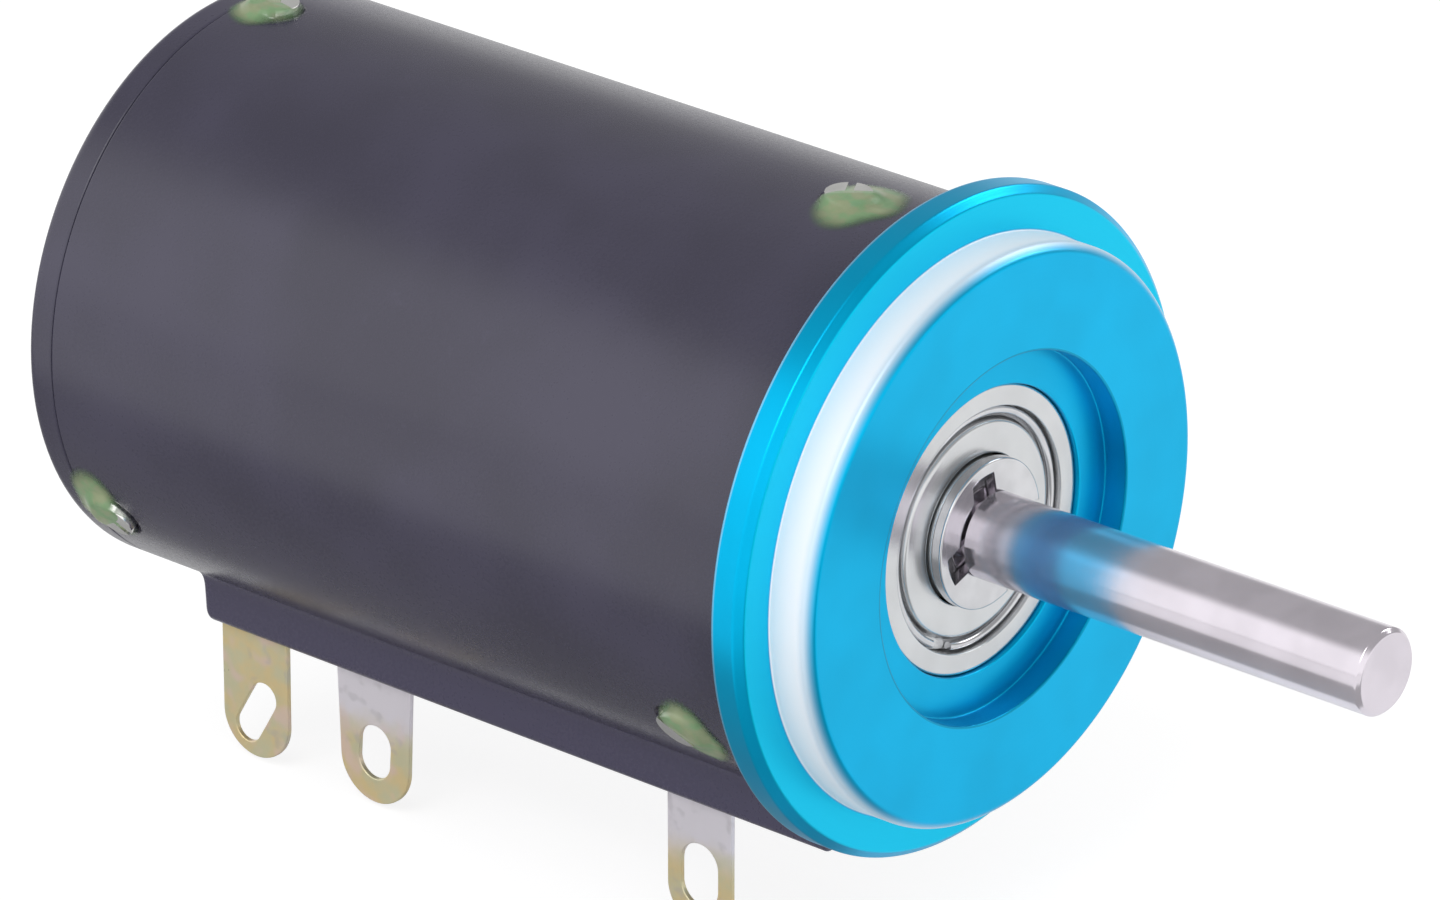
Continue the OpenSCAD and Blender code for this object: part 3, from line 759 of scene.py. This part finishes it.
class BuildCover(bpy.types.Operator):
    """Builds the rear cover, with its plug, bearing seat and rounded rear edge"""

    bl_idname = "potentiometer.cover"
    bl_label = "Rear cover"

    def execute(self, context):
        s = settings().housing
        edge, bore = s.edge * MM, HOUSING_R - s.wall * MM - FIT
        seat_x, seat_r = low("rear_bearing_outer")[0], high("rear_bearing_outer")[2] + FIT
        shoulder, hollow, rear_round = 1.27, 0.6, 0.34
        hollow_r, hollow_x = seat_r - shoulder, seat_x - hollow
        outline = rounded(
            [(COVER_REAR, 0), (COVER_REAR, HOUSING_R), (HOUSING_REAR, HOUSING_R),
             (HOUSING_REAR, bore), (COVER_FRONT, bore), (COVER_FRONT, seat_r),
             (seat_x, seat_r), (seat_x, hollow_r), (hollow_x, hollow_r), (hollow_x, 0)],
            [0, rear_round, edge, 0.03, 0.1, 0.1, 0.03, 0.05, 0.05, 0], steps=6)
        piece = add_piece("rear_cover_moulding", [turned(outline)], "housing_plastic",
                          ring_rows=False)
        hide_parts("rear_cover")
        return {"FINISHED"}


class BuildFlange(bpy.types.Operator):
    """Builds the turned flange with its pilot, recess, bearing seat and plug"""

    bl_idname = "potentiometer.flange"
    bl_label = "Front flange"

    def execute(self, context):
        s = settings().flange
        edge, root = s.edge * MM, s.root * MM
        disc_cut, pilot_cut = s.disc_bevel * MM, s.pilot_bevel * MM
        pilot_r, back = FLANGE_R - s.land * MM, -s.thickness * MM
        recess_r, floor_x = s.recess_radius * MM, PILOT_H - s.recess_depth * MM
        bore = HOUSING_R - settings().housing.wall * MM - FIT
        passage, seat_r = s.passage_radius * MM, BEARING_R + FIT
        outline = rounded(
            [(PLUG_END, passage), (PLUG_END, bore), (back, bore), (back, FLANGE_R),
             (-disc_cut, FLANGE_R), (0, FLANGE_R - disc_cut), (0, pilot_r),
             (PILOT_H - pilot_cut, pilot_r), (PILOT_H, pilot_r - pilot_cut),
             (PILOT_H, recess_r), (floor_x, recess_r), (floor_x, seat_r),
             (BEARING_REAR, seat_r), (BEARING_REAR, passage)],
            [0.2, 0.2, 0.02, 0.1, edge, edge, root, 1.5 * edge, 1.5 * edge, edge, edge,
             edge, edge, 0.1])
        piece = add_piece("flange_turning", [turned(outline, sides=288)], "blue_anodised")
        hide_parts("front_flange")
        return {"FINISHED"}


class BuildShaft(bpy.types.Operator):
    """Builds the ground shaft with its groove and chamfered ends"""

    bl_idname = "potentiometer.shaft"
    bl_label = "Shaft"

    def execute(self, context):
        s = settings().shaft
        tip, end, cut = high("shaft")[0], low("shaft")[0], s.chamfer * MM
        groove = s.groove_radius * MM
        groove_front = high("retaining_ring")[0] + s.groove_play * MM - FIT
        outline = rounded(
            [(end, 0), (end, SHAFT_R - cut), (end + cut, SHAFT_R), (BEARING_FACE, SHAFT_R),
             (BEARING_FACE, groove), (groove_front, groove), (groove_front, SHAFT_R),
             (tip - cut, SHAFT_R), (tip, SHAFT_R - cut), (tip, 0)],
            [0, 0.03, 0.03, 0.02, 0.04, 0.04, 0.03, 0.05, 0.04, 0])
        piece = add_piece("shaft_ground", [turned(outline, sides=128)], "ground_steel",
                          "rotor", ring_rows=False)
        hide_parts("shaft")
        return {"FINISHED"}


def ring_inner_radius(angle, prong_r, outer_r, window_angle):
    """Distance to the ring's inner outline at an angle from the middle of its mouth.

    It is the largest of the prong circle, the two windows (each a slot across its own
    direction, no further out than the window circle) and the mouth (the straight jaw,
    and beyond it the jaw circle, which leaves the rim whole).
    """
    window_rim, window_half, mouth_rim = 0.45, 0.55, 0.12
    jaw, centre, jaw_r = 0.92 * prong_r, 0.92 * outer_r, 0.62 * outer_r
    straight = ray_to_side(jaw, np.abs(np.sin(angle)))
    along = centre * np.cos(angle)
    last = ray_to_round(along, centre ** 2, jaw_r)
    first = 2 * along - last
    in_circle = (last > along) & (straight > first)
    mouth = np.where(in_circle, last, straight) * (along > 0)
    result = np.maximum(prong_r, np.minimum(mouth, outer_r - mouth_rim))
    for turn in (angle - window_angle, angle + window_angle):
        window = ray_to_side(window_half, np.abs(np.sin(turn))) * (np.cos(turn) > 0)
        result = np.maximum(result, np.minimum(window, outer_r - window_rim))
    return result


class BuildRetainingRing(bpy.types.Operator):
    """Builds the E-shaped ring in the shaft's groove"""

    bl_idname = "potentiometer.retaining_ring"
    bl_label = "Retaining ring"

    def execute(self, context):
        s = settings().shaft
        outer_r = high("retaining_ring")[2]
        prong_r = s.groove_radius * MM + FIT
        x0, x1 = low("retaining_ring")[0], high("retaining_ring")[0]
        half_mouth, edge = math.radians(38.6), 0.08
        angle = np.linspace(half_mouth, 2 * np.pi - half_mouth, 361)
        inner = ring_inner_radius(angle, prong_r, outer_r, s.window_angle)
        distance, height = edge_section(inner, np.full(angle.shape, outer_r), x1 - x0, edge)
        grid = around((x0 + x1) / 2 + height, distance, (angle + s.mouth)[:, None])
        piece = add_piece("retaining_ring_stamping", [close_ends(grid)], "spring_steel",
                          "rotor", ring_rows=False)
        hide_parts("retaining_ring")
        return {"FINISHED"}


def shield_section(s, rim, inner_land, side, way):
    """Section of a dished shield whose rim lies on the seat in the outer ring.

    side is the place of the bearing's face or back, and way is the sign of x inwards.
    """
    sheet, wire = s.sheet * MM, s.wire_radius * MM
    flat, slope, inner_slope = 0.2, 0.1, 0.03
    lip, step = inner_land + s.shield_gap * MM, rim - 2 * wire - flat
    face, seat = s.shield_sink * MM, s.shield_seat * MM - sheet
    corners = [(face, lip), (face, step), (seat, step + slope), (seat, rim),
               (seat + sheet, rim), (seat + sheet, step - inner_slope),
               (face + sheet, step - sheet), (face + sheet, lip)]
    line = rounded(corners, [0.05, 0.13, 0.1, 0.04, 0.04, 0.08, 0.08, 0.04])
    return line * (way, 1) + (side, 0)


def snap_ring_grid(s, rim, side, way):
    """Wire carried round the shaft axis with a gap between its ends."""
    wire = s.wire_radius * MM
    depth = s.shield_seat * MM - s.sheet * MM - wire - FIT
    gap, mouth = math.radians(14), math.radians(245)
    a = np.linspace(mouth + gap / 2, mouth + 2 * np.pi - gap / 2, 240)[:, None]
    b = np.linspace(0, 2 * np.pi, 16, endpoint=False)
    x = side + way * depth + wire * np.sin(b)
    return close_ends(around(x, rim - wire + wire * np.cos(b), a))


class BuildFrontBearing(bpy.types.Operator):
    """Builds the front bearing's rings, shields and snap rings"""

    bl_idname = "potentiometer.front_bearing"
    bl_label = "Front bearing"

    def execute(self, context):
        s = settings().bearing
        ball, seat = s.ball_radius * MM, s.shield_seat * MM
        land_share, rabbet_depth, race_play, rim_play = 0.9, 0.28, 0.05, 0.05
        pitch = (SHAFT_R + BEARING_R) / 2
        inner_land, outer_land = pitch - land_share * ball, pitch + land_share * ball
        rabbet = outer_land + rabbet_depth
        rim = rabbet - rim_play
        face, back = BEARING_FACE, BEARING_REAR
        middle, race_r = (face + back) / 2, ball + race_play

        # Each race is an arc about the balls' centre that ends at its ring's land
        open_half = math.acos((outer_land - pitch) / race_r)
        bow = np.linspace(-open_half, open_half, 17)
        race = np.stack([race_r * np.sin(bow), race_r * np.cos(bow)], 1)
        corners = [(face - seat, outer_land), (face - seat, rabbet), (face, rabbet),
                   (face, BEARING_R), (back, BEARING_R), (back, rabbet),
                   (back + seat, rabbet), (back + seat, outer_land)]
        bends = [0.03, 0.03, 0.06, 0.13, 0.13, 0.06, 0.03, 0.03]
        outline = np.concatenate([rounded(corners, bends), (middle, pitch) + race])
        outer = add_piece("bearing_outer_ring", [turned(outline, 224)], "bearing_steel")
        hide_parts("front_bearing_outer")

        bore = SHAFT_R + FIT
        corners = [(back, inner_land), (back, bore), (face, bore), (face, inner_land)]
        bends = [0.06, 0.08, 0.08, 0.06]
        outline = np.concatenate([rounded(corners, bends), (middle, pitch) - race])
        inner = add_piece("bearing_inner_ring", [turned(outline, 160)], "bearing_steel", "rotor")
        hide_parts("front_bearing_inner")

        inward = ((face, -1), (back, 1))
        shields = [turned(shield_section(s, rim, inner_land, *side)) for side in inward]
        piece = add_piece("bearing_shields", shields, "bearing_steel")
        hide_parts("front_bearing_shields")

        rings = [snap_ring_grid(s, rim, *side) for side in inward]
        piece = add_piece("bearing_snap_rings", rings, "spring_steel", ring_rows=False)
        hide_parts("front_bearing_snap_rings")
        return {"FINISHED"}


def lug_grid(node, s, tip_share, width_share, length_share, height_share, lean):
    """Plate between the wire slot and the lug's outline, in rays from the slot's centre.

    At the angle p the slot is its straight side, w / 2 / |cos|, or its round end. The
    outline is the nearest of the root's sides, the sides that taper below the bar,
    the top edge and, below the tip's centre, the tip's round.
    """
    lo, hi = low(node), high(node)
    root, thick, soft_edge = (hi[0] - lo[0]) / 2, hi[1] - lo[1], 0.05
    tip = root * tip_share
    eye_r = s.eye_width * MM * width_share / 2
    straight = s.eye_length * MM * length_share / 2 - eye_r
    eye_z = lo[2] + s.eye_height * MM * height_share
    top, bar, tip_z = hi[2] - eye_z, BAR_BOTTOM - eye_z, lo[2] + tip - eye_z
    corners = [math.atan2(z, x) for z in (top, bar) for x in (root, -root)]
    p = np.unique(np.append(np.linspace(-np.pi, np.pi, 144, endpoint=False), corners))
    q = p - math.radians(lean)
    across, up = np.abs(np.cos(q)), np.abs(np.sin(q))
    flat = ray_to_side(eye_r, across)
    bow = ray_to_round(straight * up, straight ** 2, eye_r)
    eye = np.where(flat * up <= straight, flat, bow)
    across, up = np.abs(np.cos(p)), np.sin(p)
    flare = (root - tip) / (bar - tip_z)
    taper = ray_to_side(tip - flare * tip_z, across - flare * up)
    outline = np.minimum(ray_to_side(root, across), ray_to_side(top, up))
    outline = np.minimum(outline, taper)
    end = ray_to_round(up * tip_z, tip_z ** 2, tip)
    outline = np.where(outline * up < tip_z, end, outline)
    distance, height = edge_section(eye, outline, thick, soft_edge)
    x = (lo[0] + hi[0]) / 2 + distance * np.cos(p)[:, None]
    y = (lo[1] + hi[1]) / 2 + height
    return np.stack([x, y, eye_z + distance * np.sin(p)[:, None]], axis=-1)


class BuildTerminals(bpy.types.Operator):
    """Builds the three solder lugs with their round tips and wire slots"""

    bl_idname = "potentiometer.terminals"
    bl_label = "Solder lugs"

    # For each lug: its tip's width as a share of its root's, its slot's width, length and
    # height as shares of the settings, and the lean of its slot in degrees
    shapes = {
        "terminal_slider": (1.0, 1.0, 1.0, 1.0, -30),
        "terminal_rear": (1.04 / 1.12, 1.22, 0.77, 1.12, -4),
        "terminal_front": (1.0, 1.39, 0.9, 1.15, 0),
    }

    def execute(self, context):
        s = settings().terminal
        for node, shape in self.shapes.items():
            piece = add_piece(node + "_lug", [lug_grid(node, s, *shape)], "lug_plating")
            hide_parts(node)
        return {"FINISHED"}


class BuildScrews(bpy.types.Operator):
    """Softens the edges of the screws"""

    bl_idname = "potentiometer.screws"
    bl_label = "Screws"

    def execute(self, context):
        for node in ("front_screws", "rear_screws"):
            screw = frame["nodes"][node]
            weld = screw.modifiers.new("weld", "WELD")
            weld.merge_threshold = 0.001 / MM
            bevel = screw.modifiers.new("soft edges", "BEVEL")
            bevel.width = 0.05 / MM
            bevel.segments = 2
            bevel.limit_method = "ANGLE"
            bevel.angle_limit = math.radians(50)
        return {"FINISHED"}


def dab_grid(s, screw_x, degrees, middle, half, side):
    """Film on the round of the housing, over part of the screw head.

    Its rim is an ellipse, 1 / sqrt((cos p / a)^2 + (sin p / b)^2), with shallow waves.
    Its height is its film's thickness times (1 - t^2.2)^0.9, with t from 0 in the
    middle to 1 at the rim. Near the head it climbs to a plane that leans, so that one
    side of the head is covered and the other shows.
    """
    film, head_r, climb, below = s.film * MM, 0.8, 0.5, 0.04
    lean, over_middle, over_most = 0.2, 0.02, 0.07
    head_top, side = SCREW_TOP - HOUSING_R, math.radians(side)
    p = np.linspace(0, 2 * np.pi, 80, endpoint=False)
    rim = 1 / np.hypot(np.cos(p) / half[0], np.sin(p) / half[1])
    rim = rim * (1 + 0.05 * np.sin(3 * p + degrees) + 0.03 * np.sin(5 * p + screw_x))
    t = np.sin(np.linspace(0, np.pi / 2, 36))[:, None]
    u = middle[0] + t * rim * np.cos(p)
    v = middle[1] + t * rim * np.sin(p)
    body = film * (1 - t ** 2.2) ** 0.9 + 0 * p
    over = over_middle + lean * (u * math.cos(side) + v * math.sin(side))
    over = head_top + np.minimum(over, over_most)
    near = eased((head_r + climb - np.hypot(u, v)) / climb)
    height = np.maximum(body + near * (over - body) * (1 - t ** 8), 0)
    a = math.radians(degrees) + v / HOUSING_R
    top = around(screw_x + u, HOUSING_R + height, a)
    under = around(screw_x + u, HOUSING_R - below, a)
    depth = body / film
    return np.concatenate([top, under[::-1]]), np.concatenate([depth, 0 * depth])


class BuildLacquer(bpy.types.Operator):
    """Builds the dabs of lacquer that lock the screws"""

    bl_idname = "potentiometer.lacquer"
    bl_label = "Lacquer"

    # For each dab, in millimetres and degrees: its middle from the screw's (along the shaft,
    # then round it), its half sizes, and the side of the screw's head that it covers
    dabs = {
        ("front", 90): ((0.6, 0.05), (1.5, 2.1), 50),
        ("front", 214): ((0.45, 0.3), (1.3, 1.9), 310),
        ("front", 326): ((0.4, -0.3), (1.4, 1.8), 60),
        ("rear", 90): ((-0.2, 0.25), (1.35, 1.4), 100),
        ("rear", 214): ((-0.45, -0.3), (1.3, 1.95), 230),
        ("rear", 326): ((-0.4, 0.4), (1.4, 1.8), 110),
    }

    def execute(self, context):
        s = settings().lacquer
        grids, depths = [], []
        for (place, angle), shape in self.dabs.items():
            grid, depth = dab_grid(s, SCREW_SETS[place], angle, *shape)
            grids.append(grid)
            depths.append(depth)
        add_piece("lacquer_dabs", grids, "thread_lock_lacquer", ring_rows=False, sharp=80,
                  values=depths)
        return {"FINISHED"}


def add_floor(s):
    """Pale floor, brought up to white for the camera.

    In reflections it is a little brighter than its paper, apart from a band beside
    the part, which stays darker there as painted shade.
    """
    floor_r, sides = 6.0, 64
    a = np.linspace(0, 2 * np.pi, sides, endpoint=False)
    disc = around(0.0, floor_r, a)[:, [1, 2, 0]] + (0, 0, CAD_BOX[0].z - s.floor_drop)
    mesh = bpy.data.meshes.new("floor")
    mesh.from_pydata(disc.tolist(), [], [list(range(sides))])
    ground = new_object("floor", mesh)

    f = Finish("pale_floor", Roughness=0.9, Specular_IOR_Level=0.0, Emission_Strength=1.0)
    paper = f.mix(f.noise(90.0), (s.paper,) * 3, (s.paper + 0.02,) * 3)
    seen = f.node("ShaderNodeLightPath")
    mirrored = seen.other("Is Glossy Ray") + seen.other("Is Transmission Ray")
    # Painted shade: in reflections the floor is darker in a band beside the part, standing in
    # for the part's shadow there.
    lean, middle = 0.05, 1.53 * HOUSING_R
    band, band_end = 1.12 * HOUSING_R, 1.34 * HOUSING_R
    off_shade_band = abs(f.y - lean * f.x + middle).step(band, band_end)
    seen_dim, band_shade_dim, seen_glow, mirrored_glow = 0.65, 0.5, 0.82, 0.2
    dim = seen * seen_dim + mirrored * (1 - off_shade_band) * band_shade_dim
    glow = seen * seen_glow + mirrored * off_shade_band * mirrored_glow
    f.set(Base_Color=f.mix(dim, paper, (0, 0, 0)),
          Emission_Color=f.mix(glow, (0, 0, 0), (1, 1, 1)))
    mesh.materials.append(FINISHES["pale_floor"])


def add_tent(s):
    """White surroundings, which are plain white for the camera.

    As a light they have bright walls and a dimmer ceiling that reaches lower at +Y.
    """
    world = bpy.data.worlds.new("light_tent")
    world.use_nodes = True
    bpy.context.scene.world = world
    sky = Shader(world.node_tree)
    outward = sky.node("ShaderNodeTexCoord")
    across = sky.node("ShaderNodeSeparateXYZ", inputs={0: outward}, output=1)
    lean, wall_top, ceiling_edge = 0.5, 0.3, 0.65
    height = across.other(2) + lean * across
    light = s.walls - (s.walls - s.ceiling) * height.step(wall_top, ceiling_edge)
    seen = sky.node("ShaderNodeLightPath")
    glow = sky.node("ShaderNodeBackground", inputs={"Color": (1, 1, 1, 1),
                    "Strength": seen + (1 - seen) * light})
    sky.end("ShaderNodeOutputWorld", glow)


def add_aimed(name, data, place, toward):
    """Adds a lamp or a camera at a place, turned to face one way."""
    made = new_object(name, data)
    made.location = place
    made.rotation_mode = "QUATERNION"
    made.rotation_quaternion = toward.to_track_quat("-Z", "Y")
    return made


def add_lamp(name, place, size, power):
    """Square lamp that faces the origin."""
    light = bpy.data.lights.new(name, "AREA")
    light.size = size
    light.energy = power
    add_aimed(name, light, place, -Vector(place))


def add_camera(s):
    """Camera with a long lens, at its distance from the aim."""
    back = Vector((math.sin(s.azimuth) * math.cos(s.elevation),
                   -math.cos(s.azimuth) * math.cos(s.elevation), math.sin(s.elevation)))
    data = bpy.data.cameras.new("camera")
    data.sensor_width = 36.0
    data.lens = s.lens
    data.clip_start, data.clip_end = 0.01, 20.0
    place = Vector(s.aim) + back * s.distance
    bpy.context.scene.camera = add_aimed("camera", data, place, -back)


class BuildStage(bpy.types.Operator):
    """Builds the floor, the light tent, the lamps and the camera"""

    bl_idname = "potentiometer.stage"
    bl_label = "Stage"

    def execute(self, context):
        s = settings().stage
        add_floor(s)
        add_tent(s)
        add_lamp("key_light", (0.06, -0.30, 0.42), size=0.30, power=0.7)
        add_lamp("back_light", (0.10, 0.40, 0.30), size=0.20, power=0.5)
        add_camera(s)
        context.scene.view_settings.view_transform = "Standard"
        return {"FINISHED"}


class PotentiometerPanel(bpy.types.Panel):
    """Lists the builders of the pieces"""

    bl_idname = "VIEW3D_PT_potentiometer"
    bl_label = "Ten-turn potentiometer"
    bl_space_type = "VIEW_3D"
    bl_region_type = "UI"
    bl_category = "Potentiometer"

    def draw(self, context):
        for builder in BUILDERS:
            self.layout.operator(builder.bl_idname)


GROUPS = (HousingSettings, FlangeSettings, BearingSettings, ShaftSettings,
          TerminalSettings, LacquerSettings, StageSettings, PotentiometerSettings)
BUILDERS = (BuildStage, BuildFinishes, BuildHousing, BuildCover, BuildFlange, BuildShaft,
            BuildRetainingRing, BuildFrontBearing, BuildTerminals, BuildScrews, BuildLacquer)


def register():
    for group in (*GROUPS, *BUILDERS, PotentiometerPanel):
        bpy.utils.register_class(group)
    bpy.types.Scene.potentiometer = PointerProperty(type=PotentiometerSettings)


def unregister():
    del bpy.types.Scene.potentiometer
    for group in reversed((*GROUPS, *BUILDERS, PotentiometerPanel)):
        bpy.utils.unregister_class(group)


def main():
    """Registers the add-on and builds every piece."""
    register()
    for builder in BUILDERS:
        family, name = builder.bl_idname.split(".")
        getattr(getattr(bpy.ops, family), name)()


if __name__ == "__main__":
    main()
